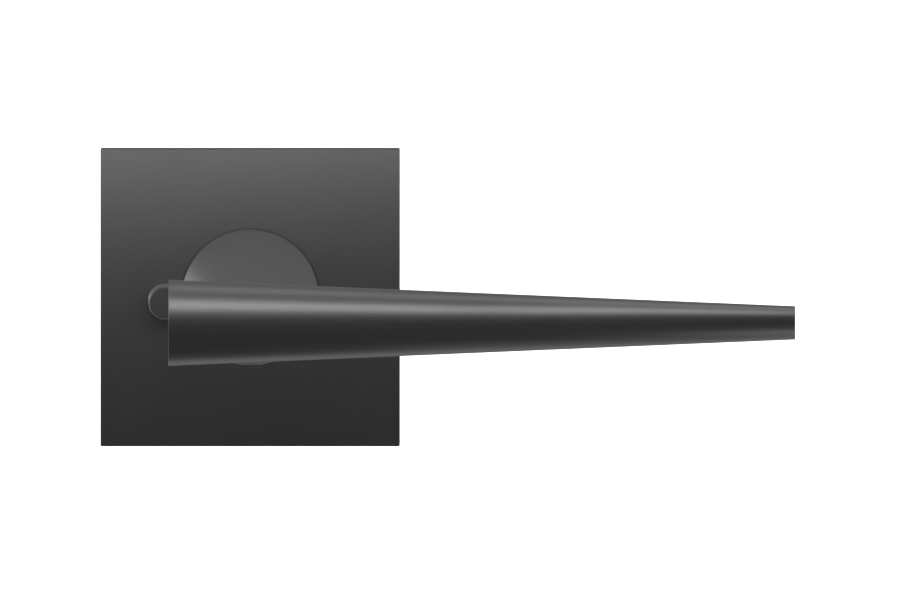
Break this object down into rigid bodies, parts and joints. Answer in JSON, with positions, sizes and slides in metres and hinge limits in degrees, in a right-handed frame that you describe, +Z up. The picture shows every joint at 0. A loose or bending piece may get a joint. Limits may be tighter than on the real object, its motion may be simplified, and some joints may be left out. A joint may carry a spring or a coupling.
{
  "type": "door lever handle",
  "caption": "Door lever handle, inside half: tapered round lever on a conical neck and square rose, with a sprung return, spindle, through bolts and a privacy push button.",
  "frame": {"origin": "where the spindle's axis meets the door face", "axes": "+X along the lever from the spindle to the tip, +Y into the door along the spindle, +Z up"},
  "size_m": [0.1531, 0.117, 0.066],
  "materials": {
    "graphite_coat": "satin graphite-black coat on metal",
    "plain_steel": "turned or drawn plain steel",
    "zinc_plate": "bright zinc-plated pressed steel",
    "cast_housing": "as-cast, lightly tumbled",
    "nylon": "natural moulded nylon",
    "spring_steel": "oiled spring steel",
    "magnet_plating": "nickel-plated magnet",
    "black_oxide": "black oxide screw"
  },
  "bodies": {
    "rose": {"rose_cover": "graphite_coat", "backplate": "zinc_plate", "cover_magnets": "magnet_plating", "neck_bush": "nylon", "spring_housing": "cast_housing", "housing_cover": "zinc_plate", "stop_pins": "plain_steel", "spring_post": "plain_steel", "return_spring": "spring_steel", "through_bolts": "zinc_plate", "housing_rivets": "plain_steel", "cover_screws": "black_oxide", "button_guide": "nylon", "button_spring": "spring_steel", "catch_spring": "spring_steel"},
    "lever": {"lever_grip": "graphite_coat", "lever_neck": "graphite_coat", "grip_screw": "black_oxide", "grub_screw": "black_oxide", "spindle": "plain_steel", "drive_hub": "plain_steel", "release_cam": "plain_steel", "thrust_washer": "nylon", "retaining_ring": "spring_steel"},
    "button": {"privacy_button": "graphite_coat", "lock_rod": "plain_steel", "rod_clip": "spring_steel"},
    "catch": {"catch_plate": "plain_steel"}
  },
  "joints": [
    {"name": "lever_turn", "type": "hinge", "parent": "rose", "child": "lever", "pos_m": [0, 0, 0], "axis": [0, 1, 0], "range_deg": [0, 45], "stiffness_Nm_per_rad": 1.2, "springref_deg": -20.05, "deforming": ["return_spring"]},
    {"name": "button_press", "type": "slide", "parent": "rose", "child": "button", "axis": [0, 1, 0], "range_m": [0, 0.0035], "stiffness_N_per_m": 400, "springref_m": -0.001, "deforming": ["button_spring"]},
    {"name": "catch_slide", "type": "slide", "parent": "rose", "child": "catch", "axis": [-1, 0, 0], "range_m": [0, 0.00151], "deforming": ["catch_spring"]}
  ],
  "couplings": [
    {"joint": "catch_slide", "follows": "lever_turn", "m_per_rad": 0.00191}
  ]
}
